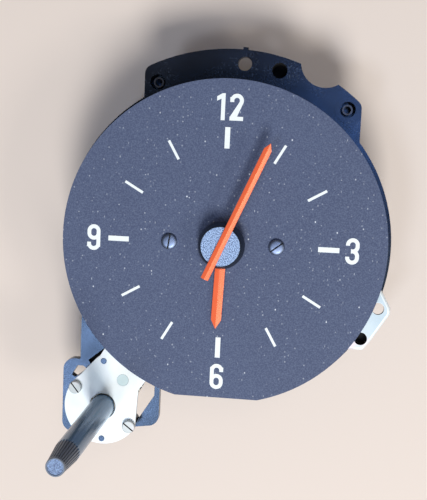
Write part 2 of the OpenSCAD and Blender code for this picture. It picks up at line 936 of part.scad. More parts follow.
module rear_plate() {
    color([0.76, 0.64, 0.34])
        difference() {
            at([0, 0], rear_plate_z)
                disc(rear_plate_r, rear_plate_t);
            for (p = [[0, 0], intermediate_at, rotor_at])
                at(p, rear_plate_z - cut)
                    disc(pivot_r + run_gap, rear_plate_t + 2 * cut);
            for (a = pillar_dirs)
                at(polar(pillar_ring, a), rear_plate_z - cut)
                    disc(pillar_thread_d / 2 + screw_room, rear_plate_t + 2 * cut);
            translate([coil_x, rotor_at[1], rear_plate_z])
                cube([2 * (flange_coil_r + coil_room), coil_len + 2 * coil_room, 2 * rear_plate_t + cut],
                    center = true);
        }
}
module pillars() {
    color([0.76, 0.64, 0.34])
        for (a = pillar_dirs)
            at(polar(pillar_ring, a), rear_plate_top)
                difference() {
                    disc(pillar_r, frame_z - rear_plate_top);
                    translate([0, 0, -cut])
                        disc(pillar_thread_d / 2 + fix_gap, pillar_screw_grip + cut + cut);
                }
}
module pillar_screws() {
    thread_len = rear_plate_t + pillar_screw_grip;
    color([0.7, 0.71, 0.73])
        for (a = pillar_dirs)
            at(polar(pillar_ring, a), rear_plate_z)
                mirror([0, 0, 1])
                    slotted_screw(pillar_head_d, pillar_head_h, pillar_thread_d, thread_len, a);
}

// black frame
module flange_outline() {
    left_c = [-flange_left + flange_corner, sqrt(pow(flange_r - flange_corner, 2)
        - pow(flange_left - flange_corner, 2))];
    right_c = [flange_right - flange_corner, sqrt(pow(flange_r - flange_corner, 2)
        - pow(flange_right - flange_corner, 2))];
    difference() {
        union() {
            intersection() {
                circle(r = flange_r);
                pie(flange_r, atan2(right_c[1], right_c[0]), atan2(left_c[1], left_c[0]));
            }
            for (c = [left_c, right_c])
                translate(c)
                    circle(r = flange_corner);
            polygon([[0, 0], [flange_right, 0], [flange_right, right_c[1]], right_c, left_c,
                [-flange_left, left_c[1]], [-flange_left, 0]]);
            rotate(nub_dir)
                translate([flange_r - cut, -nub_w / 2])
                    square([nub_h + cut, nub_w]);
        }
        translate(dip_at)
            circle(r = dip_r);
    }
}
module tongue_outline() {
    c1 = [-tongue_left + tongue_corner, tongue_top];
    c2 = [-tongue_left + tongue_corner, tongue_low];
    c3 = [-tongue_right - tongue_corner, tongue_low + tongue_rise];
    for (c = [c1, c2, c3])
        translate(c)
            circle(r = tongue_corner);
    polygon([[-tongue_left, tongue_top], [-tongue_left, tongue_low], c2 - [0, tongue_corner],
        c3 - [0, tongue_corner], [-tongue_right, c3[1]], [-tongue_right, -tongue_root],
        [-tongue_side, -tongue_root / 2], [-tongue_side, tongue_top + tongue_corner],
        c1 + [0, tongue_corner]]);
}
// outlines of the setting plate's round part and its arm, shrunk by e
module setting_round(e) {
    run = plate_notch - plate_heel;
    difference() {
        translate(knob)
            circle(r = plate_r - e);
        translate(knob - [e + plate_lap, 0])
            polygon([plate_heel - run, plate_heel - run + [plate_r, 0], plate_notch + run + [plate_r, 0],
                plate_notch + run]);
    }
}
module setting_arm(e) {
    tuck_r = dial_d / 2 - plate_tuck;
    inner_r = plate_r - e - plate_lap;
    polygon([knob, knob + polar(inner_r, plate_tangent), knob + plate_nose_left + [e, -e],
        knob + plate_nose - [0, e], polar(tuck_r, tuck_dir - tuck_span), polar(tuck_r, tuck_dir + tuck_span),
        knob + plate_horn - [e, 0], knob + plate_notch - [e, 0], knob + plate_heel + [-e, e],
        knob + polar(inner_r, plate_toe_dir)]);
}
// walls of the small gear case, open towards the large idler
module small_case_2d() {
    room = gear_m + gear_room;
    difference() {
        union() {
            setting_round(case_inset);
            setting_arm(case_inset);
        }
        circle(r = case_start_r);
        windows_2d();
        groove_2d();
        translate(knob)
            circle(r = gear_m * teeth_setting / 2 + room);
        translate(small_at)
            circle(r = gear_m * teeth_small / 2 + room);
        translate(large_at)
            circle(r = gear_m * teeth_large / 2 + room + large_room);
    }
}
module windows_2d() {
    polygon([[knob[0] + window_top[0] + rib_w / 2, -window_root], knob + window_top, knob + window_mid,
        knob + window_low, [-tongue_right - rib_w, knob[1] + window_bend],
        [-tongue_right - rib_w, -window_root]]);
    polygon([knob + [-slot_x, slot_y], knob + [-slot_x + slot_w, slot_y], knob + slot_right, knob + slot_low,
        knob + [-slot_x - slot_w, slot_y - slot_h]]);
}
// a deep groove beside the upper left edge of the setting plate
module groove_2d() {
    translate(knob)
        polygon(concat(groove_out, groove_in));
}
module frame_solid() {
    translate([0, 0, frame_under])
        linear_extrude(height = frame_t)
            difference() {
                union() {
                    intersection() {
                        circle(r = frame_r);
                        translate([-2 * frame_r, -frame_flat])
                            square([4 * frame_r, 4 * frame_r]);
                    }
                    flange_outline();
                    tongue_outline();
                    intersection() {
                        translate(lug_pin_at)
                            circle(r = lug_pin_d / 2 + lug_pad);
                        circle(r = frame_r + lug_pad_out);
                    }
                }
                circle(r = frame_open_r);
                windows_2d();
            }
    at(lug_pin_at, frame_under)
        disc(lug_pin_d / 2 + lug_floor_wall, frame_t - lug_lip_h + base_t - lug_floor_gap);
    at([0, 0], cover_z)
        tube(case_r, case_r - case_wall, frame_z - cover_z - frame_t / 2);
    for (p = [boss_left, boss_right])
        at(p, frame_under - boss_depth)
            disc(boss_r, boss_depth + boss_rim + frame_t);
    at(locate_at, frame_under - locate_depth)
        disc(locate_d / 2 + locate_wall, locate_depth + frame_t / 2);
    for (a = cover_screw_dirs)
        intersection() {
            at(polar(cover_screw_r, a), cover_z + lip_h + lip_gap)
                disc(cover_boss_r, frame_under - cover_z - lip_h - lip_gap);
            disc(case_r - case_wall / 2, frame_z);
        }
    translate([0, 0, frame_z - cut])
        linear_extrude(height = plate_z - frame_z + cut)
            small_case_2d();
    for (d = [screw_dir, screw_dir + 180])
        at(knob + polar(plate_screw_r, d), frame_under)
            disc(plate_thread_d / 2 + screw_wall, plate_z - frame_under);
    for (y = peg_ys)
        at(knob + [0, y], frame_z - cut)
            disc(peg_r, plate_top + peg_rise - frame_z + cut);
    at(knob, frame_z - cut)
        disc(shaft_r + seat_wall, level_a - frame_z - seat_gap + cut);
    at(knob, cap_top - cap_t)
        disc(tube_r, frame_under - cap_top + cap_t + frame_t / 2);
}
module case_frame() {
    groove = 2.2;
    grip_h = 3;
    color([0.11, 0.12, 0.15])
        difference() {
            frame_solid();
            at(screw_hole_at, frame_under - cut)
                disc(flange_hole_d / 2, frame_t + 2 * cut);
            at(locate_at, frame_under - locate_depth + locate_wall)
                disc(locate_d / 2, locate_depth + frame_t);
            for (p = [boss_left, boss_right]) {
                at(p, frame_under - boss_depth + boss_floor)
                    disc(sleeve_d / 2 + fix_gap, boss_depth + frame_t);
                at(p, frame_under - boss_depth + grip_h)
                    disc(boss_bore_d / 2, boss_depth + frame_t);
            }
            at(lug_hole_at, frame_under - cut)
                disc(lug_hole_d / 2 + lug_frame_room, frame_t + 2 * cut);
            at(lug_pin_at, frame_z - groove)
                disc(lug_pin_d / 2 - lug_pin_step, groove + cut);
            translate([0, 0, frame_z - groove])
                linear_extrude(height = groove + cut)
                    groove_2d();
            for (a = cover_screw_dirs)
                at(polar(cover_screw_r, a), cover_z)
                    disc(cover_thread_d / 2 + fix_gap, frame_under - cut - cover_z);
            for (d = [screw_dir, screw_dir + 180])
                at(knob + polar(plate_screw_r, d), plate_z - plate_screw_len)
                    disc(plate_thread_d / 2 + fix_gap, plate_screw_len + cut);
            at(knob, frame_under - cut)
                disc(shaft_r + run_gap, level_a - frame_under + cut);
            at(knob, cap_top - cap_t - cut)
                disc(tube_bore_r, frame_under - cap_top + cap_t + cut);
            at(small_at, frame_z - stud_sink)
                disc(post_r + fix_gap, stud_sink + cut);
        }
}
module boss_sleeves() {
    color([0.78, 0.66, 0.36])
        for (p = [boss_left, boss_right])
            at(p, frame_under - boss_depth + boss_floor)
                tube(sleeve_d / 2, sleeve_bore_d / 2, boss_depth + frame_t - sleeve_drop - boss_floor);
}

// setting plate, its screws and stud
module setting_plate() {
    hole_h = plate_t + 2 * cut;
    color([0.82, 0.85, 0.86])
        difference() {
            union() {
                translate([0, 0, plate_z])
                    linear_extrude(height = plate_t)
                        setting_round(0);
                translate([0, 0, plate_z])
                    linear_extrude(height = plate_t)
                        setting_arm(0);
            }
            at(knob, plate_z - cut)
                disc(plate_hole_r, hole_h);
            for (d = [screw_dir, screw_dir + 180])
                at(knob + polar(plate_screw_r, d), plate_z - cut)
                    disc(plate_thread_d / 2 + screw_room, hole_h);
            for (y = peg_ys)
                at(knob + [0, y], plate_z - cut)
                    disc(peg_r + fix_gap, hole_h);
            at(small_at, plate_z - cut)
                disc(stud_head_r + fix_gap, hole_h);
        }
}
module setting_plate_screws() {
    thread_len = plate_t + plate_screw_len - cut;
    slot_high = 129;
    slot_near = 143;
    color([0.78, 0.8, 0.8]) {
        at(knob + polar(plate_screw_r, screw_dir), plate_top)
            slotted_screw(plate_head_d, plate_head_h, plate_thread_d, thread_len, slot_high);
        at(knob + polar(plate_screw_r, screw_dir + 180), plate_top)
            slotted_screw(plate_head_d, plate_head_h, plate_thread_d, thread_len, slot_near);
    }
}
module idler_stud() {
    color([0.75, 0.8, 0.82]) {
        at(small_at, plate_z)
            disc(stud_head_r, plate_t);
        at(small_at, frame_z - stud_sink)
            disc(post_r, plate_z - frame_z + stud_sink);
    }
}

// setting knob with its spring
module setting_knob() {
    low = cone_z + cone_h;
    grip_z = knob_top - grip_len;
    flute_share = 0.085;
    flute_w = grip_d * flute_share;
    lean = atan2((grip_d - tip_d) / 2, grip_len);
    groove_r = shaft_r - clip_groove;
    color([0.1, 0.11, 0.13])
        at(knob, 0)
            difference() {
                union() {
                    translate([0, 0, low])
                        cylinder(r1 = knob_d / 2, r2 = grip_d / 2, h = grip_z - low);
                    translate([0, 0, grip_z])
                        cylinder(r1 = grip_d / 2, r2 = tip_d / 2, h = grip_len);
                    translate([0, 0, cone_z])
                        cylinder(r1 = cone_low_r, r2 = cone_top_r, h = cone_h);
                    translate([0, 0, shoulder_z])
                        disc(shaft_r, cone_z + cone_h - shoulder_z);
                    translate([0, 0, shoulder_z - stub_len])
                        disc(stub_r, stub_len + cut);
                }
                translate([0, 0, clip_z - clip_play])
                    tube(shaft_r + cut, groove_r, clip_t + 2 * clip_play);
                for (i = [0 : flutes - 1])
                    rotate(360 * i / flutes)
                        translate([grip_d / 2, 0, grip_z])
                            rotate([0, -lean, 0])
                                rotate(45)
                                    translate([-flute_w / 2, -flute_w / 2, 0])
                                        cube([flute_w, flute_w, grip_len + cut]);
            }
}
module knob_circlip() {
    clip_w = 1.2;
    clip_r = shaft_r + clip_w;
    mouth = shaft_r * 1.2;
    color([0.5, 0.51, 0.53])
        at(knob, clip_z)
            difference() {
                tube(clip_r, shaft_r - clip_groove + fix_gap, clip_t);
                translate([0, -mouth / 2, -cut])
                    cube([clip_r + cut, mouth, clip_t + 2 * cut]);
            }
}
module spring_washer() {
    rim_gap = 0.3;
    color([0.7, 0.71, 0.73])
        at(knob, washer_z)
            tube(tube_bore_r - rim_gap, stub_r + run_gap, washer_t);
}
module return_spring() {
    turns = 5;
    per_turn = 14;
    sides = 6;
    wire_r = 0.35;
    coil_radius = 3.3;
    rings = turns * per_turn;
    rise = washer_z - cap_top - 2 * (wire_r + fix_gap);
    pts = [for (i = [0 : rings]) for (j = [0 : sides - 1])
        let (a = 360 * i / per_turn, b = 360 * j / sides, r = coil_radius + wire_r * cos(b))
        [r * cos(a), r * sin(a), wire_r + fix_gap + rise * i / rings + wire_r * sin(b)]];
    sides_faces = [for (i = [0 : rings - 1]) for (j = [0 : sides - 1])
        [i * sides + j, (i + 1) * sides + j, (i + 1) * sides + (j + 1) % sides, i * sides + (j + 1) % sides]];
    ends = [[for (j = [0 : sides - 1]) j], [for (j = [sides - 1 : -1 : 0]) rings * sides + j]];
    color([0.7, 0.71, 0.73])
        at(knob, cap_top)
            polyhedron(points = pts, faces = concat(sides_faces, ends));
}
module spring_cap() {
    color([0.13, 0.13, 0.15])
        at(knob, cap_top - cap_t)
            disc(tube_bore_r - fix_gap, cap_t);
}

// rear cover and board
module socket_2d(grow) {
    translate([-socket_w / 2 - grow, pins_y - socket_h / 2 - grow])
        square([socket_w + 2 * grow, socket_h + 2 * grow]);
}
module rear_cover() {
    lip_r = case_r - case_wall - lip_gap;
    lip_wall = 2;
    color([0.12, 0.12, 0.14])
        difference() {
            union() {
                disc(case_r, floor_t);
                tube(case_r, case_r - case_wall, cover_z);
                at([0, 0], cover_z - 2 * lip_wall)
                    tube(case_r - cut, lip_r - lip_wall, 2 * lip_wall);
                at([0, 0], cover_z - cut)
                    tube(lip_r, lip_r - lip_wall, lip_h + cut);
                for (a = cover_screw_dirs) {
                    intersection() {
                        at(polar(cover_screw_r, a), 0)
                            disc(cover_boss_r, cover_z);
                        disc(case_r - cut, cover_z);
                    }
                    intersection() {
                        at(polar(cover_screw_r, a), 0)
                            disc(cover_boss_r, cover_z + lip_h);
                        disc(lip_r, cover_z + lip_h);
                    }
                }
                linear_extrude(height = floor_t + socket_depth)
                    socket_2d(socket_wall);
            }
            translate([0, 0, -cut])
                linear_extrude(height = floor_t + socket_depth + 2 * cut)
                    socket_2d(0);
            for (a = cover_screw_dirs)
                at(polar(cover_screw_r, a), -cut) {
                    disc(cover_head_d / 2 + screw_room, cover_head_room + cut);
                    disc(cover_thread_d / 2 + screw_room, cover_z + lip_h + 2 * cut);
                }
        }
}
module cover_screws() {
    head_h = 2;
    turn = 30;
    thread_len = cover_z + lip_h + cover_screw_grip - cover_head_room;
    color([0.7, 0.71, 0.73])
        for (a = cover_screw_dirs)
            at(polar(cover_screw_r, a), cover_head_room)
                mirror([0, 0, 1])
                    slotted_screw(cover_head_d, head_h, cover_thread_d, thread_len, a + turn);
}
module circuit_board() {
    color([0.55, 0.42, 0.2])
        difference() {
            translate([-board_w / 2, board_y - board_h / 2, board_z])
                cube([board_w, board_h, board_t]);
            for (s = [-1, 1])
                at([s * post_board_x, board_y], board_z - cut)
                    disc(pillar_thread_d / 2 + screw_room, board_t + 2 * cut);
        }
}
module board_posts() {
    color([0.76, 0.64, 0.34])
        for (s = [-1, 1])
            at([s * post_board_x, board_y], board_z + board_t)
                tube(post_board_r, pillar_thread_d / 2 + fix_gap, rear_plate_z - board_z - board_t);
}
module board_screws() {
    turn = 60;
    thread_len = board_t + pillar_screw_grip;
    color([0.7, 0.71, 0.73])
        for (s = [-1, 1])
            at([s * post_board_x, board_y], board_z)
                mirror([0, 0, 1])
                    slotted_screw(pillar_head_d, pillar_head_h, pillar_thread_d, thread_len, turn * s);
}
module driver_chip() {
    size = [10, 6.4, 3.2];
    place = [-8, board_y + 5];
    color([0.12, 0.12, 0.13])
        translate([place[0] - size[0] / 2, place[1] - size[1] / 2, board_z - size[2]])
            cube(size);
}
module crystal_can() {
    can_r = 1.6;
    can_len = 8;
    row = 12.5;
    place = [-8, board_y + row];
    color([0.8, 0.81, 0.83])
        translate([place[0] - can_len / 2, place[1], board_z - can_r - fix_gap])
            rotate([0, 90, 0])
                disc(can_r, can_len);
}
module trimmer() {
    body_r = 3;
    body_h = 2.4;
    slot = 0.7;
    slot_len = body_r * 1.4;
    place = [1.5, board_y + 9];
    color([0.85, 0.8, 0.45])
        difference() {
            at(place, board_z - body_h)
                disc(body_r, body_h);
            at(place, board_z - body_h)
                cube([slot_len, slot, slot * 2], center = true);
        }
}
module capacitor() {
    can_r = 3.1;
    can_len = 10;
    place = [9, board_y + 2];
    color([0.2, 0.3, 0.5])
        at(place, board_z - can_r - fix_gap)
            rotate([0, 90, 90])
                disc(can_r, can_len);
}
module terminal_pins() {
    drop = 1.5;
    color([0.78, 0.66, 0.36])
        for (s = [-1, 0, 1])
            translate([s * pin_pitch - pin_w / 2, pins_y - pin_t / 2, drop])
                cube([pin_w, pin_t, board_z - drop]);
}

rear_cover();
cover_screws();
case_frame();
boss_sleeves();
base_plate();
rear_plate();
pillars();
pillar_screws();
dial_plate();
dial_print();
dial_screws();
dial_posts();
wheel_posts();
post_clips();
centre_bush();
setting_plate();
setting_plate_screws();
idler_stud();
spring_cap();
motor_stator();
stator_rivets();
coil_bobbin();
coil_winding();
circuit_board();
board_posts();
board_screws();
driver_chip();
crystal_can();
trimmer();
capacitor();
terminal_pins();
minute_arbor();
cannon_pinion();
hub_cap();
minute_hand();
hour_wheel();
hour_hand();
minute_wheel();
large_idler();
small_idler();
setting_gear();
spring_washer();
return_spring();
setting_knob();
knob_circlip();
rotor_magnet();
rotor_arbor();
intermediate_wheel();
centre_wheel();
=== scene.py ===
import json
import math

import bpy
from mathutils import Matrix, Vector


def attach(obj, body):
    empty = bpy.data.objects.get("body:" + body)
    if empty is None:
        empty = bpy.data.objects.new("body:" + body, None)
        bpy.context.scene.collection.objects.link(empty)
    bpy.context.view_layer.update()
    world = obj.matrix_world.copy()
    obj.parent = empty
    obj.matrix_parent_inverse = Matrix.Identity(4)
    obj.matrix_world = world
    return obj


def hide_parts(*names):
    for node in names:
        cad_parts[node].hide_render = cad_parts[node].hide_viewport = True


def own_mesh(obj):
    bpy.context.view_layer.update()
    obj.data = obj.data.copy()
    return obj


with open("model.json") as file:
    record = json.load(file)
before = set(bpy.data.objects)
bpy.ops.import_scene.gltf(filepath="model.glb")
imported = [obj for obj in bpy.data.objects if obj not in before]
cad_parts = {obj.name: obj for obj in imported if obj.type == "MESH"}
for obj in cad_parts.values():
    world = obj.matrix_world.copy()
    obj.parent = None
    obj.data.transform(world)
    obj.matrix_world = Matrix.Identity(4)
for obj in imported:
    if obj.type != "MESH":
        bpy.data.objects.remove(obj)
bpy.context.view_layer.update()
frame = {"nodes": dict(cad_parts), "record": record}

MM = 0.001
NODES = frame["nodes"]
BEHAVIOUR = frame["record"]["behaviour"]
JOINTS = {joint["name"]: joint for joint in BEHAVIOUR["joints"]}
BODY_OF = {node: body for body, members in BEHAVIOUR["bodies"].items() for node in members}
SLOT_OF = {part["node"]: part["material_slot"] for part in frame["record"]["subparts"]}


def heights(node):
    """The lowest and the highest point of a CAD node, in millimetres."""
    levels = [point.co.z / MM for point in NODES[node].data.vertices]
    return round(min(levels), 2), round(max(levels), 2)


# Sizes and places taken from the CAD frame, in millimetres

HUB_LOW, HUB_TOP = heights("hub_cap")
KNOB_LOW, KNOB_TOP = heights("setting_knob")
DIAL_TOP = heights("dial_plate")[1]
PLATE_TOP = heights("setting_plate")[1]
LUG_TOP = heights("base_plate")[1]
KNOB_AXIS = [round(place / MM, 3) for place in JOINTS["knob_turn"]["pos_m"][:2]]

# Places on the visible pieces, in millimetres from the middle of the dial, and turns in degrees

LUG_HOLES = [Vector((48.9, -18.3)), Vector((44.1, -28.1))]
LUG_HOLE_REACH = 2.1
LOCATING_HOLE = Vector((14.5, 53.5))
GROOVE_START = Vector((-36.8, -36.3))
GROOVE_ALONG = Vector((-0.769, -0.639))
DIAL_SCREW_X = 16.5
PLATE_SCREW_R = 10.6
PLATE_SCREW_TURN = 146.5
MINUTE_TURN = 23.4
SMOOTH_ANGLE = 32


# Materials

def linear(code):
    """An sRGB hex colour as linear RGBA."""
    parts = [int(code[i:i + 2], 16) / 255 for i in (1, 3, 5)]
    return (*[c / 12.92 if c <= 0.04045 else ((c + 0.055) / 1.055) ** 2.4 for c in parts], 1.0)


def add(tree, kind, values=None, links=None, **settings):
    """Adds one node with its settings, socket values and incoming links."""
    node = tree.nodes.new(kind)
    for name, value in settings.items():
        setattr(node, name, value)
    for name, value in (values or {}).items():
        node.inputs[name].default_value = value
    for name, socket in (links or {}).items():
        tree.links.new(socket, node.inputs[name])
    return node


def start(name, **surface):
    """A new material with one surface shader and its object coordinates."""
    material = bpy.data.materials.new(name)
    material.use_nodes = True
    tree = material.node_tree
    tree.nodes.clear()
    shader = add(tree, "ShaderNodeBsdfPrincipled", surface)
    add(tree, "ShaderNodeOutputMaterial", links={"Surface": shader.outputs["BSDF"]})
    place = add(tree, "ShaderNodeTexCoord").outputs["Object"]
    return material, tree, shader, place


def per_metre(size_mm):
    """Texture scale for a pattern whose features are this many millimetres across."""
    return 1 / (size_mm * MM)


# Dust on the dial: the cell across and along in millimetres, the speck's share of its cell,
# the share of cells that hold none, how pale a speck is, and the turn of the cells in degrees
DUST = [
    ((1.5, 1.5), 0.19, 0.35, 0.38, 0),
    ((2.7, 2.7), 0.1, 0.7, 0.65, 0),
    ((3.2, 11), 0.04, 0.62, 0.6, -35),
    ((7.5, 9.5), 0.034, 0.5, 1.0, 25),
]


def dial_enamel():
    """Matt enamel sprayed on sheet: slate grey, whose blue cast is a painted sheen of the sky on a dark
    grey enamel, finely mottled, with pale dust settled all over it.
    """
    material, tree, shader, place = start(
        "sprayed_enamel", **{"Roughness": 0.7, "Specular IOR Level": 0.3})
    cloud = add(tree, "ShaderNodeTexNoise", {"Scale": per_metre(26), "Detail": 2}, {"Vector": place})
    # the blue cast of these two tones is painted sky sheen over a dark grey enamel
    paint = add(tree, "ShaderNodeMix", {6: linear("#444E6B"), 7: linear("#4A5675")},
                {0: cloud.outputs["Fac"]}, data_type="RGBA")
    # pigment and the finest dust, about 0.4 mm, a shade lighter
    mottle = add(tree, "ShaderNodeTexNoise", {"Scale": per_metre(0.42), "Detail": 1}, {"Vector": place})
    mottled = add(tree, "ShaderNodeMapRange", {"From Min": 0.35, "From Max": 0.9},
                  {"Value": mottle.outputs["Fac"]})
    coat = add(tree, "ShaderNodeMix", {7: linear("#67748F")},
               {0: mottled.outputs["Result"], 6: paint.outputs[2]}, data_type="RGBA")
    for (across, along), share, bare, pale, turn in DUST:
        lie = add(tree, "ShaderNodeMapping", {
            "Scale": (per_metre(across), per_metre(along), per_metre(across)),
            "Rotation": (0, 0, math.radians(turn))}, {"Vector": place})
        specks = add(tree, "ShaderNodeTexVoronoi", {"Scale": 1.0}, {"Vector": lie.outputs["Vector"]},
                     voronoi_dimensions="2D" if turn else "3D")
        near = add(tree, "ShaderNodeMapRange", {
            "From Min": share / 2, "From Max": share, "To Min": pale, "To Max": 0.0},
            {"Value": specks.outputs["Distance"]})
        chance = add(tree, "ShaderNodeSeparateColor", links={"Color": specks.outputs["Color"]})
        held = add(tree, "ShaderNodeMapRange", {"From Min": bare, "From Max": 1.0},
                   {"Value": chance.outputs["Red"]})
        dust = add(tree, "ShaderNodeMath",
                   links={0: near.outputs["Result"], 1: held.outputs["Result"]}, operation="MULTIPLY")
        coat = add(tree, "ShaderNodeMix", {7: linear("#E4EDF8")},
                   {0: dust.outputs["Value"], 6: coat.outputs[2]}, data_type="RGBA")
    tree.links.new(coat.outputs[2], shader.inputs["Base Color"])
    bump = add(tree, "ShaderNodeBump", {"Strength": 0.2, "Distance": 0.03 * MM},
               {"Height": mottle.outputs["Fac"]})
    tree.links.new(bump.outputs["Normal"], shader.inputs["Normal"])
    return material


def printed_ink():
    """Screen-printed white ink: matt and thick, with a faint mottle where the paint shows through."""
    material, tree, shader, place = start("screen_print_ink", **{"Roughness": 0.6, "IOR": 1.48})
    mottle = add(tree, "ShaderNodeTexNoise", {"Scale": per_metre(0.8), "Detail": 3}, {"Vector": place})
    ink = add(tree, "ShaderNodeMix", {6: linear("#E6F1F4"), 7: linear("#F6FDFE")},
              {0: mottle.outputs["Fac"]}, data_type="RGBA")
    tree.links.new(ink.outputs[2], shader.inputs["Base Color"])
    return material


def hand_paint():
    """Fluorescent orange lacquer on a pressed hand: it glows a little red by a painted glow that shines
    with no lamp, standing in for its fluorescence, and its ridge shines pale.
    """
    # the red emission is a painted glow, lit without any lamp
    material, tree, shader, place = start("fluorescent_paint_with_painted_glow", **{
        "Roughness": 0.32, "IOR": 1.6, "Specular IOR Level": 0.9, "Specular Tint": linear("#FFE4C4"),
        "Emission Color": linear("#FF4420"), "Emission Strength": 0.1})
    wave = add(tree, "ShaderNodeTexNoise", {"Scale": per_metre(2.5), "Detail": 2}, {"Vector": place})
    paint = add(tree, "ShaderNodeMix", {6: linear("#F06C42"), 7: linear("#F6764C")},
                {0: wave.outputs["Fac"]}, data_type="RGBA")
    tree.links.new(paint.outputs[2], shader.inputs["Base Color"])
    return material


def grained(name, low, high):
    """Spark-eroded black moulding: a fine grain, coloured pale blue-grey as a painted sheen of the sky,
    with painted glints as pale specks on the grain's tips.
    """
    material, tree, shader, place = start(name, **{"Roughness": 0.5, "IOR": 1.5})
    # the grain is about 0.3 mm, coarser than a real one, so that it shows
    grain = add(tree, "ShaderNodeTexNoise", {"Scale": per_metre(0.32), "Detail": 2}, {"Vector": place})
    tips = add(tree, "ShaderNodeMapRange", {"From Min": 0.37, "From Max": 0.62},
               {"Value": grain.outputs["Fac"]})
    tone = add(tree, "ShaderNodeMix", {6: linear(low), 7: linear(high)},
               {0: tips.outputs["Result"]}, data_type="RGBA")
    tree.links.new(tone.outputs[2], shader.inputs["Base Color"])
    bump = add(tree, "ShaderNodeBump", {"Strength": 0.6, "Distance": 0.08 * MM},
               {"Height": grain.outputs["Fac"]})
    tree.links.new(bump.outputs["Normal"], shader.inputs["Normal"])
    return material


def black_moulding(name, low, high, rough, haze_mm=(9, 9, 9), gloss=1.6, scuffed=0.0):
    """Moulded ABS: a faint grain, duller in patches or streaks where hands have been, with scuffs."""
    material, tree, shader, place = start(name, **{"IOR": gloss, "Specular Tint": linear("#AFCDF7")})
    patch = add(tree, "ShaderNodeMapping", {"Scale": [per_metre(size) for size in haze_mm]},
                {"Vector": place})
    haze = add(tree, "ShaderNodeTexNoise", {"Scale": 1.0, "Detail": 4}, {"Vector": patch.outputs["Vector"]})
    tone = add(tree, "ShaderNodeMix", {6: linear(low), 7: linear(high)},
               {0: haze.outputs["Fac"]}, data_type="RGBA")
    # scuffs of about 0.6 mm lie in patches of about 12 mm
    patches = add(tree, "ShaderNodeTexNoise", {"Scale": per_metre(12), "Detail": 1}, {"Vector": place})
    rubbed = add(tree, "ShaderNodeMapRange", {"From Min": 0.5, "From Max": 0.7, "To Max": scuffed},
                 {"Value": patches.outputs["Fac"]})
    scratches = add(tree, "ShaderNodeTexNoise", {"Scale": per_metre(0.6), "Detail": 4}, {"Vector": place})
    pale = add(tree, "ShaderNodeMapRange", {"From Min": 0.56, "From Max": 0.66},
               {"Value": scratches.outputs["Fac"]})
    scuff = add(tree, "ShaderNodeMath",
                links={0: rubbed.outputs["Result"], 1: pale.outputs["Result"]}, operation="MULTIPLY")
    worn = add(tree, "ShaderNodeMix", {7: linear("#8FA3C0")},
               {0: scuff.outputs["Value"], 6: tone.outputs[2]}, data_type="RGBA")
    tree.links.new(worn.outputs[2], shader.inputs["Base Color"])
    dull = add(tree, "ShaderNodeMapRange", {
        "From Min": 0.3, "From Max": 0.7, "To Min": rough - 0.03, "To Max": rough + 0.05},
        {"Value": haze.outputs["Fac"]})
    tree.links.new(dull.outputs["Result"], shader.inputs["Roughness"])
    grain = add(tree, "ShaderNodeTexNoise", {"Scale": per_metre(0.35), "Detail": 2}, {"Vector": place})
    bump = add(tree, "ShaderNodeBump", {"Strength": 0.15, "Distance": 0.04 * MM},
               {"Height": grain.outputs["Fac"]})
    tree.links.new(bump.outputs["Normal"], shader.inputs["Normal"])
    return material


def zinc_plate(name, low, high):
    """Bright zinc plating: pale, tinted blue and rose by its passivation, with fine rolling marks."""
    material, tree, shader, place = start(name, **{"Metallic": 0.15})
    tint = add(tree, "ShaderNodeTexNoise", {"Scale": per_metre(11), "Detail": 2}, {"Vector": place})
    colours = add(tree, "ShaderNodeValToRGB", links={"Fac": tint.outputs["Fac"]})
    blue, bright = colours.color_ramp.elements
    blue.position = 0.3
    blue.color = linear(low)
    bright.position = 0.52
    bright.color = linear(high)
    rose = colours.color_ramp.elements.new(0.62)
    rose.color = linear("#DCD6DE")
    tree.links.new(colours.outputs["Color"], shader.inputs["Base Color"])
    flow = add(tree, "ShaderNodeMapping", {"Scale": (per_metre(0.25), per_metre(6), per_metre(1))},
               {"Vector": place})
    marks = add(tree, "ShaderNodeTexNoise", {"Scale": 1.0, "Detail": 3}, {"Vector": flow.outputs["Vector"]})
    rough = add(tree, "ShaderNodeMapRange", {"To Min": 0.42, "To Max": 0.56},
                {"Value": marks.outputs["Fac"]})
    tree.links.new(rough.outputs["Result"], shader.inputs["Roughness"])
    return material


def turned_metal(name, low, high, rough):
    """Turned or stamped metal: even colour with slight tarnish and fine tool marks."""
    material, tree, shader, place = start(name, **{"Metallic": 1.0})
    tarnish = add(tree, "ShaderNodeTexNoise", {"Scale": per_metre(3), "Detail": 3}, {"Vector": place})
    tone = add(tree, "ShaderNodeMix", {6: linear(low), 7: linear(high)},
               {0: tarnish.outputs["Fac"]}, data_type="RGBA")
    tree.links.new(tone.outputs[2], shader.inputs["Base Color"])
    fine = add(tree, "ShaderNodeTexNoise", {"Scale": per_metre(0.3), "Detail": 2}, {"Vector": place})
    dull = add(tree, "ShaderNodeMapRange", {"To Min": rough - 0.08, "To Max": rough + 0.12},
               {"Value": fine.outputs["Fac"]})
    tree.links.new(dull.outputs["Result"], shader.inputs["Roughness"])
    return material


def moulded(name, low, high, rough):
    """Plain moulded or fired material: slight mottle and a fine surface."""
    material, tree, shader, place = start(name, **{"IOR": 1.5})
    mottle = add(tree, "ShaderNodeTexNoise", {"Scale": per_metre(4), "Detail": 3}, {"Vector": place})
    tone = add(tree, "ShaderNodeMix", {6: linear(low), 7: linear(high)},
               {0: mottle.outputs["Fac"]}, data_type="RGBA")
    tree.links.new(tone.outputs[2], shader.inputs["Base Color"])
    dull = add(tree, "ShaderNodeMapRange", {"To Min": rough - 0.06, "To Max": rough + 0.08},
               {"Value": mottle.outputs["Fac"]})
    tree.links.new(dull.outputs["Result"], shader.inputs["Roughness"])
    return material


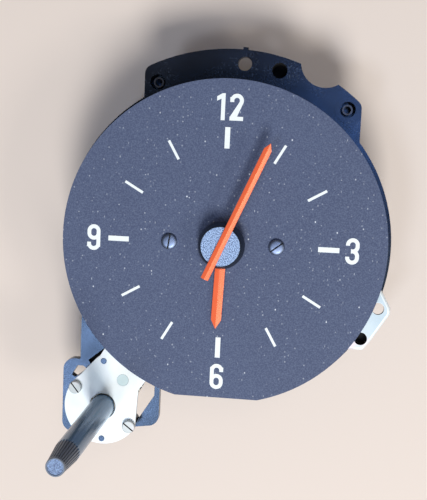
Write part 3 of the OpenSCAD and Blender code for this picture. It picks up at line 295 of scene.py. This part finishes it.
# Finishes by material slot
FINISHES = {
    "black_moulding": black_moulding("satin_abs", "#0B0B0F", "#13141A", 0.22, scuffed=0.16),
    # the knob's black shaft is coloured blue-grey: painted reflection of the sky and the pale plate
    "knob_plastic": black_moulding("polished_abs_painted_sheen", "#4C667E", "#6E90AE", 0.18,
                                   haze_mm=(0.9, 0.9, 30), gloss=1.9),
    "hub_plastic": black_moulding("smooth_abs", "#14161D", "#1D212B", 0.4),
    "dial_paint": dial_enamel(),
    "dial_ink": printed_ink(),
    "hand_orange": hand_paint(),
    "zinc_steel": zinc_plate("zinc_plated_steel", "#E4F1F5", "#EDF4F7"),
    "dark_steel": turned_metal("blued_steel", "#66738C", "#7A88A3", 0.42),
    "plain_steel": turned_metal("turned_steel", "#AEBDC2", "#C2CED2", 0.45),
    "brass": turned_metal("turned_brass", "#B5924A", "#D0AE62", 0.32),
    "wheel_plastic": moulded("acetal", "#D8D2C0", "#E6E1D2", 0.4),
    "magnet": turned_metal("sintered_ferrite", "#3A3A3C", "#4A4A4D", 0.6),
    "stator_iron": turned_metal("silicon_iron_sheet", "#7E8288", "#989CA2", 0.42),
    "copper_wire": turned_metal("enamelled_copper", "#A4532B", "#BF6A3A", 0.35),
    "bobbin_plastic": moulded("nylon", "#DCD6C2", "#E9E4D4", 0.45),
    "board": moulded("phenolic_board", "#7A5426", "#94682F", 0.5),
    "chip": moulded("epoxy_case", "#1C1D20", "#26282C", 0.45),
    "can": turned_metal("tinned_can", "#B9BCC2", "#CDD0D5", 0.25),
    "trimmer_ceramic": moulded("steatite", "#CDB868", "#DCC97E", 0.4),
    "capacitor_sleeve": moulded("vinyl_sleeve", "#2B4475", "#36528A", 0.3),
}
# Nodes whose finish isn't the usual one of their slot
OWN_FINISH = {
    # the lug is the setting plate's zinc in a darker blue copy: painted shade
    "base_plate": zinc_plate("zinc_plate_painted_shade", "#B2C6D2", "#C4D4DC"),
    "boss_sleeves": turned_metal("oxidised_steel", "#3C3C3F", "#57575B", 0.3),
    "idler_stud": zinc_plate("pale_zinc_plate", "#BFD8DE", "#C9DEE2"),
    "setting_plate_screws": zinc_plate("handled_zinc_plate", "#B9C2C4", "#C8CFCF"),
}
# Finishes of single faces
# the hub's black top: a real grain under a painted sheen of the sky
HUB_TOP_PAINTED_SHEEN = grained("grained_hub_painted_sheen", "#3A527C", "#AECFFC")
# the knob's black end: a real grain under a painted sheen of the sky
KNOB_END_PAINTED_SHEEN = grained("grained_end_painted_sheen", "#4E6288", "#84A0C9")
# the black grip coloured mid grey: painted sheen
KNOB_GRIP_PAINTED_SHEEN = black_moulding("grip_abs_painted_sheen", "#676E77", "#7C838D", 0.36)
# near-black for the bottoms and walls of deep holes and the groove: painted shade
HOLE_PAINTED_SHADE = moulded("painted_hole_shade", "#050506", "#08080A", 0.85)
# dark for screw slots and the walls of the lug's holes: painted shade
RECESS_PAINTED_SHADE = moulded("painted_recess_shade", "#1B1F26", "#262B33", 0.8)


def finish_of(node):
    """The finish of a CAD node: its own, or that of its slot."""
    return OWN_FINISH.get(node, FINISHES[SLOT_OF[node]])


# Modelling helpers

def pick(piece):
    """Selects one object alone and makes it active."""
    bpy.ops.object.select_all(action="DESELECT")
    piece.select_set(True)
    bpy.context.view_layer.objects.active = piece


def edit(piece):
    """Opens a piece in edit mode with nothing selected."""
    pick(piece)
    bpy.ops.object.mode_set(mode="EDIT")
    bpy.ops.mesh.select_all(action="DESELECT")


def leave():
    """Leaves edit mode."""
    bpy.ops.object.mode_set(mode="OBJECT")


def select_faces(piece, test):
    """In edit mode, selects the faces whose middle and normal pass a test."""
    leave()
    for face in piece.data.polygons:
        face.select = test(face.center, face.normal)
    for edge in piece.data.edges:
        edge.select = False
    bpy.ops.object.mode_set(mode="EDIT")
    bpy.ops.mesh.select_mode(type="FACE")


def select_points(piece, test):
    """In edit mode, selects the points whose place passes a test."""
    bpy.ops.mesh.select_mode(type="VERT")
    bpy.ops.mesh.select_all(action="DESELECT")
    leave()
    for point in piece.data.vertices:
        point.select = test(point.co)
    bpy.ops.object.mode_set(mode="EDIT")


def select_end(piece, up):
    """In edit mode, selects the flat end face of a round piece: the highest, or the lowest."""
    levels = [face.center.z for face in piece.data.polygons]
    end = max(levels) if up else min(levels)
    select_faces(piece, lambda middle, normal: abs(middle.z - end) < 0.001 * MM and abs(normal.z) > 0.9)


def soften(piece, width_mm, segments=2, angle=35):
    """Rounds the sharp edges of a piece."""
    pick(piece)
    bevel = piece.modifiers.new("edges", "BEVEL")
    bevel.width = width_mm * MM
    bevel.segments = segments
    bevel.limit_method = "ANGLE"
    bevel.angle_limit = math.radians(angle)
    bevel.use_clamp_overlap = True
    bevel.miter_outer = "MITER_ARC"
    bpy.ops.object.modifier_apply(modifier=bevel.name)


def settle(piece, node, smooth=SMOOTH_ANGLE):
    """Gives a finished piece its node's finish and CAD body, and hides that node in its place."""
    pick(piece)
    bpy.ops.object.transform_apply(location=True, rotation=True, scale=True)
    bpy.ops.object.shade_smooth_by_angle(angle=math.radians(smooth))
    normals = piece.modifiers.new("normals", "WEIGHTED_NORMAL")
    normals.keep_sharp = True
    bpy.ops.object.modifier_apply(modifier=normals.name)
    piece.data.materials.clear()
    piece.data.materials.append(finish_of(node))
    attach(piece, BODY_OF[node])
    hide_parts(node)
    return piece


def repaint(piece, finish, test):
    """Gives another finish to the faces whose middle, in millimetres, and normal pass a test."""
    piece.data.materials.append(finish)
    for face in piece.data.polygons:
        if test(face.center / MM, face.normal):
            face.material_index = len(piece.data.materials) - 1


def rounded_copy(node, name, width_mm, segments=2, angle=35, shape=None):
    """A copy of a CAD node with its triangles merged and its edges rounded, as the real piece's are."""
    piece = bpy.data.objects.new(name, NODES[node].data.copy())
    bpy.context.scene.collection.objects.link(piece)
    edit(piece)
    bpy.ops.mesh.select_all(action="SELECT")
    bpy.ops.mesh.remove_doubles(threshold=0.002 * MM)
    bpy.ops.mesh.dissolve_limited(angle_limit=math.radians(0.5))
    leave()
    if shape:
        shape(piece)
    soften(piece, width_mm, segments, angle)
    return settle(piece, node)


def round_bar(name, axis, low, high, radius, sides):
    """Adds a cylinder at its size and place, all in millimetres, with its place in its mesh."""
    bpy.ops.object.select_all(action="DESELECT")
    bpy.ops.mesh.primitive_cylinder_add(
        vertices=sides, radius=radius * MM, depth=(high - low) * MM, end_fill_type="NGON",
        location=(axis[0] * MM, axis[1] * MM, (low + high) / 2 * MM))
    piece = bpy.context.object
    piece.name = name
    bpy.ops.object.transform_apply(location=True, rotation=True, scale=True)
    return piece


def grow(piece, axis, at, rings, up=True):
    """Extrudes an end face of a round piece through rings of (height, radius), from the ring it is at."""
    edit(piece)
    select_end(piece, up)
    for ring in rings:
        scale = ring[1] / at[1]
        bpy.ops.mesh.extrude_region_move(
            TRANSFORM_OT_translate={"value": (0, 0, (ring[0] - at[0]) * MM)})
        bpy.ops.transform.resize(
            value=(scale, scale, 1), center_override=(axis[0] * MM, axis[1] * MM, ring[0] * MM))
        at = ring
    leave()


def cut_slot(piece, axis, top, width, depth, length, turn):
    """Cuts a screwdriver slot across a head."""
    bpy.ops.object.select_all(action="DESELECT")
    bpy.ops.mesh.primitive_cube_add(
        size=1, location=(axis[0] * MM, axis[1] * MM, top * MM), rotation=(0, 0, math.radians(turn)))
    blade = bpy.context.object
    blade.scale = (length * MM, width * MM, 2 * depth * MM)
    bpy.ops.object.transform_apply(location=True, rotation=True, scale=True)
    pick(piece)
    slot = piece.modifiers.new("slot", "BOOLEAN")
    slot.operation = "DIFFERENCE"
    slot.solver = "EXACT"
    slot.object = blade
    bpy.ops.object.modifier_apply(modifier=slot.name)
    bpy.data.objects.remove(blade)


# Finishes of the CAD nodes

for node, part in NODES.items():
    part.data.materials.clear()
    part.data.materials.append(finish_of(node))
    pick(part)
    bpy.ops.object.shade_smooth_by_angle(angle=math.radians(SMOOTH_ANGLE))


# Dial, hands, case, plates and spring with their edges rounded

def press_rim(piece):
    """Slopes the upper edge of the lug's outline, as pressed."""
    lug_start, rim = 49, 0.9

    def on_outline(place):
        clear = all((place.xy - hole).length > LUG_HOLE_REACH for hole in LUG_HOLES)
        return clear and place.z > LUG_TOP - 0.01 and place.xy.length > lug_start

    edit(piece)
    bpy.ops.mesh.select_mode(type="EDGE")
    leave()
    for line in piece.data.edges:
        line.select = all(on_outline(piece.data.vertices[i].co / MM) for i in line.vertices)
    bpy.ops.object.mode_set(mode="EDIT")
    bpy.ops.mesh.bevel(offset=rim * MM, segments=3)
    leave()


def blunt_tip(piece):
    """Moves the shoulders of the minute hand nearer to its tip, for the blunt end of a stamped hand."""
    shoulder, move = 31.2, 0.6
    along = Vector((math.sin(math.radians(MINUTE_TURN)), math.cos(math.radians(MINUTE_TURN))))
    edit(piece)
    select_points(piece, lambda point: abs(point.xy.dot(along) / MM - shoulder) < 0.1)
    bpy.ops.transform.translate(value=(along.x * move * MM, along.y * move * MM, 0))
    leave()


def in_hole(middle, normal):
    """Whether a face of the frame is in its locating hole, its hole under the lug or its groove."""
    locating_reach, lug_reach, hole_rim = 2.45, 1.8, 31.85
    groove_length, groove_width, groove_low, groove_rim = 7.8, 2.2, 29.5, 35.9
    in_locating = (middle.xy - LOCATING_HOLE).length < locating_reach
    under_lug = (middle.xy - LUG_HOLES[1]).length < lug_reach
    reach = middle.xy - GROOVE_START
    beside_plate = (0 < reach.dot(GROOVE_ALONG) < groove_length
                    and -0.1 < reach.dot(GROOVE_ALONG.orthogonal()) < groove_width)
    return ((in_locating or under_lug) and middle.z < hole_rim
            or beside_plate and groove_low < middle.z < groove_rim)


def in_lug_hole(middle, normal):
    """Whether a face of the lug is the sheared wall of one of its holes."""
    return abs(normal.z) < 0.5 and any((middle.xy - hole).length < LUG_HOLE_REACH for hole in LUG_HOLES)


def on_lug_rim(middle, normal):
    """Whether a face is on the sloped rim of the lug, where the setting plate's paler zinc is a painted
    highlight.
    """
    rim_start, rim_low = 48, 32
    return middle.xy.length > rim_start and middle.z > rim_low and 0.1 < normal.z < 0.99


rounded_copy("dial_plate", "dial_sheet", 0.12)
rounded_copy("minute_hand", "minute_pointer", 0.1, shape=blunt_tip)
rounded_copy("hour_hand", "hour_pointer", 0.1)
black_frame = rounded_copy("case_frame", "black_frame", 0.5, segments=3)
# the frame's holes and the groove beside the plate get painted shade
repaint(black_frame, HOLE_PAINTED_SHADE, in_hole)
rounded_copy("rear_cover", "rear_lid", 0.4)
rounded_copy("setting_plate", "bright_plate", 0.22, segments=3)
lug_plate = rounded_copy("base_plate", "lug_plate", 0.15, shape=press_rim)
# the lug's rim gets the paler zinc: painted highlight
repaint(lug_plate, FINISHES["zinc_steel"], on_lug_rim)
# the walls of the lug's holes get painted shade
repaint(lug_plate, RECESS_PAINTED_SHADE, in_lug_hole)

# The return spring, which in the clock shortens as the knob is pushed, gets a mesh of its own
push_spring = rounded_copy("return_spring", "push_spring", 0.03, segments=1, angle=80)
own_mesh(push_spring)


# Hub, knob and screws

def hub():
    """The hub cap: an upright rim, a sloping side, a rounded edge and a slightly dished grained top."""
    centre = (0, 0)
    rim_top, rim_r = HUB_LOW + 1.2, 7.1
    bore_r, roof = 2.02, 0.8
    grain_r, dish = 5, 0.12
    piece = round_bar("hub", centre, HUB_LOW, rim_top, rim_r, sides=128)
    grow(piece, centre, (rim_top, rim_r), [
        (HUB_TOP - 0.5, 6.35), (HUB_TOP - 0.15, 6.2), (HUB_TOP, 6.0), (HUB_TOP - dish, 5.85)])
    grow(piece, centre, (HUB_LOW, rim_r), [(HUB_LOW, bore_r), (HUB_TOP - roof, bore_r)], up=False)
    soften(piece, 0.08, angle=50)
    settle(piece, "hub_cap")
    # the grained top gets the painted sky sheen
    repaint(piece, HUB_TOP_PAINTED_SHEEN, lambda middle, normal:
            normal.z > 0.95 and middle.z > HUB_TOP - 0.2 and middle.xy.length < grain_r)


def knob():
    """The setting knob: pivot, circlip groove, cone, smooth tapered shaft, fluted grip, dished end."""
    flutes, per_flute = 26, 4
    sides = flutes * per_flute
    flute_depth, flute_r = 0.34, 3.1
    pivot_end, pivot_r = 25.0, 1.3
    stem_r, groove_r, groove_low, groove_high = 2.0, 1.6, 28.05, 28.85
    cone_low, cone_high = 36.0, 37.0
    grip_low, grip_start, grip_end, rim = 79.3, 80.1, 90.1, 90.35
    dish = 0.25
    piece = round_bar("knob", KNOB_AXIS, KNOB_LOW, pivot_end, pivot_r, sides)
    grow(piece, KNOB_AXIS, (pivot_end, pivot_r), [
        (pivot_end, stem_r), (groove_low, stem_r), (groove_low, groove_r), (groove_high, groove_r),
        (groove_high, stem_r), (cone_low, stem_r), (cone_low, 2.5), (cone_high, 3.5),
        (cone_high, 3.7), (cone_high + 0.15, 3.85), (grip_low, 3.55), (grip_start, 3.49),
        (grip_end, 2.63), (rim, 2.66), (KNOB_TOP - 0.15, 2.6), (KNOB_TOP, 2.45), (KNOB_TOP, 2.2),
        (KNOB_TOP - dish, 2.1)])

    def in_flute(point):
        turn = math.atan2(point.y - KNOB_AXIS[1] * MM, point.x - KNOB_AXIS[0] * MM) / math.tau * sides
        on_grip = grip_start - 0.01 < point.z / MM < grip_end + 0.01
        return on_grip and round(turn) % per_flute == per_flute // 2

    edit(piece)
    select_points(piece, in_flute)
    inward = 1 - flute_depth / flute_r
    bpy.ops.transform.resize(
        value=(inward, inward, 1), center_override=(KNOB_AXIS[0] * MM, KNOB_AXIS[1] * MM, 0))
    leave()
    settle(piece, "setting_knob", smooth=24)
    # the grip's grey is painted sheen on black plastic
    repaint(piece, KNOB_GRIP_PAINTED_SHEEN, lambda middle, normal: middle.z > grip_start)
    # the dished end gets the painted sky sheen
    repaint(piece, KNOB_END_PAINTED_SHEEN, lambda middle, normal:
            normal.z > 0.9 and abs(middle.z - KNOB_TOP + dish) < 0.01)


# Screws in millimetres: the head's rings of (height over the seat, radius), from its upright side to
# its top, the thread's radius and length, and the slot's width and depth
DIAL_SCREW = {
    "rings": [(0.45, 2.45), (0.75, 2.34), (0.95, 2.05), (1.06, 1.5), (1.1, 0.6)],
    "thread_r": 1.25, "thread": 3.5, "slot": 0.42, "slot_depth": 0.6}
PLATE_SCREW = {
    "rings": [(1.1, 2.05), (1.3, 2.0), (1.45, 1.86), (1.5, 1.7)],
    "thread_r": 1.1, "thread": 5.4, "slot": 0.38, "slot_depth": 0.75}


def screw(name, node, kind, axis, seat, turn):
    """A slotted screw: its head from the seat up, then its thread below, then its slot."""
    rings = [(seat + height, radius) for height, radius in kind["rings"]]
    side_top, head_r = rings[0]
    top = rings[-1][0]
    thread_end, thread_r = seat - kind["thread"], kind["thread_r"]
    slot, depth = kind["slot"], kind["slot_depth"]
    piece = round_bar(name, axis, seat, side_top, head_r, sides=64)
    grow(piece, axis, rings[0], rings[1:])
    grow(piece, axis, (seat, head_r), [(seat, thread_r), (thread_end, thread_r)], up=False)
    cut_slot(piece, axis, top, slot, depth, 2 * head_r + 1, turn)
    soften(piece, 0.06, angle=40)
    settle(piece, node)
    across = Vector((-math.sin(math.radians(turn)), math.cos(math.radians(turn))))
    # the slot's faces get painted shade
    repaint(piece, RECESS_PAINTED_SHADE, lambda middle, normal:
            middle.z > top - depth - 0.05
            and abs((middle.xy - Vector(axis)).dot(across)) < slot / 2 + 0.02)


hub()
knob()
for name, x, slot_turn in (("dial_screw_left", -DIAL_SCREW_X, 82), ("dial_screw_right", DIAL_SCREW_X, 38)):
    screw(name, "dial_screws", DIAL_SCREW, (x, 0), DIAL_TOP, slot_turn)
for name, side, slot_turn in (("plate_screw_high", 1, 129), ("plate_screw_low", -1, 143)):
    place = [KNOB_AXIS[0] + side * PLATE_SCREW_R * math.cos(math.radians(PLATE_SCREW_TURN)),
             KNOB_AXIS[1] + side * PLATE_SCREW_R * math.sin(math.radians(PLATE_SCREW_TURN))]
    screw(name, "setting_plate_screws", PLATE_SCREW, place, PLATE_TOP, slot_turn)


# Floor, light and camera, in metres

FLOOR_SIZE = 6
FLOOR_GAP = 0.05 * MM
CLOCK_MIDDLE = (0, 0, 0.03)
# Lamps: place, aim, size, watts and tint
LAMPS = {
    "key": ((0.16, -0.62, 1.1), CLOCK_MIDDLE, (0.34, 0.42), 12.0, "#FFFDFA"),
    "right_window": ((1.05, -0.5, 1.15), CLOCK_MIDDLE, (0.36, 0.36), 4.6, "#FFF8F0"),
    "left_window": ((-0.28, -0.37, 1.15), CLOCK_MIDDLE, (0.2, 0.22), 2.7, "#DCEAFF"),
    "fill": ((0.3, 0.45, 1.2), CLOCK_MIDDLE, (0.3, 0.3), 0.9, "#FFF8F0"),
    "sky": ((0.18, 0.1, 1.15), (0.03, 0.04, 0.03), (0.22, 0.22), 0.95, "#9CC0FF"),
}
# Camera: place, turn in degrees and focal length in millimetres
EYE_PLACE = (0.021181, 0.028392, 0.295652)
EYE_TURN = (-6.4916, 5.6297, 2.5864)
EYE_LENS = 60.72


def floor():
    """A plain pale floor."""
    bpy.ops.object.select_all(action="DESELECT")
    bpy.ops.mesh.primitive_plane_add(size=FLOOR_SIZE, location=(0, 0, -FLOOR_GAP))
    ground = bpy.context.object
    ground.name = "floor"
    material = start("pale_floor", **{"Base Color": linear("#E4D9D0"), "Roughness": 0.85})[0]
    ground.data.materials.append(material)


def lamp(name, place, aim, size, watts, tint):
    """A soft rectangular lamp pointed at the clock."""
    light = bpy.data.lights.new(name, "AREA")
    light.shape = "RECTANGLE"
    light.size, light.size_y = size
    light.energy = watts
    light.color = linear(tint)[:3]
    stand = bpy.data.objects.new(name, light)
    bpy.context.scene.collection.objects.link(stand)
    stand.location = place
    stand.rotation_euler = (Vector(aim) - Vector(place)).to_track_quat("-Z", "Y").to_euler()


def studio():
    """A dim warm room round the lamps."""
    world = bpy.data.worlds.new("studio")
    bpy.context.scene.world = world
    world.use_nodes = True
    tree = world.node_tree
    tree.nodes.clear()
    room = add(tree, "ShaderNodeBackground", {"Color": linear("#FFF1E2"), "Strength": 0.12})
    add(tree, "ShaderNodeOutputWorld", links={"Surface": room.outputs["Background"]})
    for name, settings in LAMPS.items():
        lamp(name, *settings)


def camera():
    """The photograph's view, fitted to the hour marks of the dial."""
    eye = bpy.data.cameras.new("camera")
    eye.sensor_width = 36
    eye.lens = EYE_LENS
    eye.clip_start = 0.01
    stand = bpy.data.objects.new("camera", eye)
    bpy.context.scene.collection.objects.link(stand)
    stand.location = EYE_PLACE
    stand.rotation_euler = [math.radians(turn) for turn in EYE_TURN]
    bpy.context.scene.camera = stand


floor()
studio()
camera()
bpy.context.scene.view_settings.view_transform = "Standard"
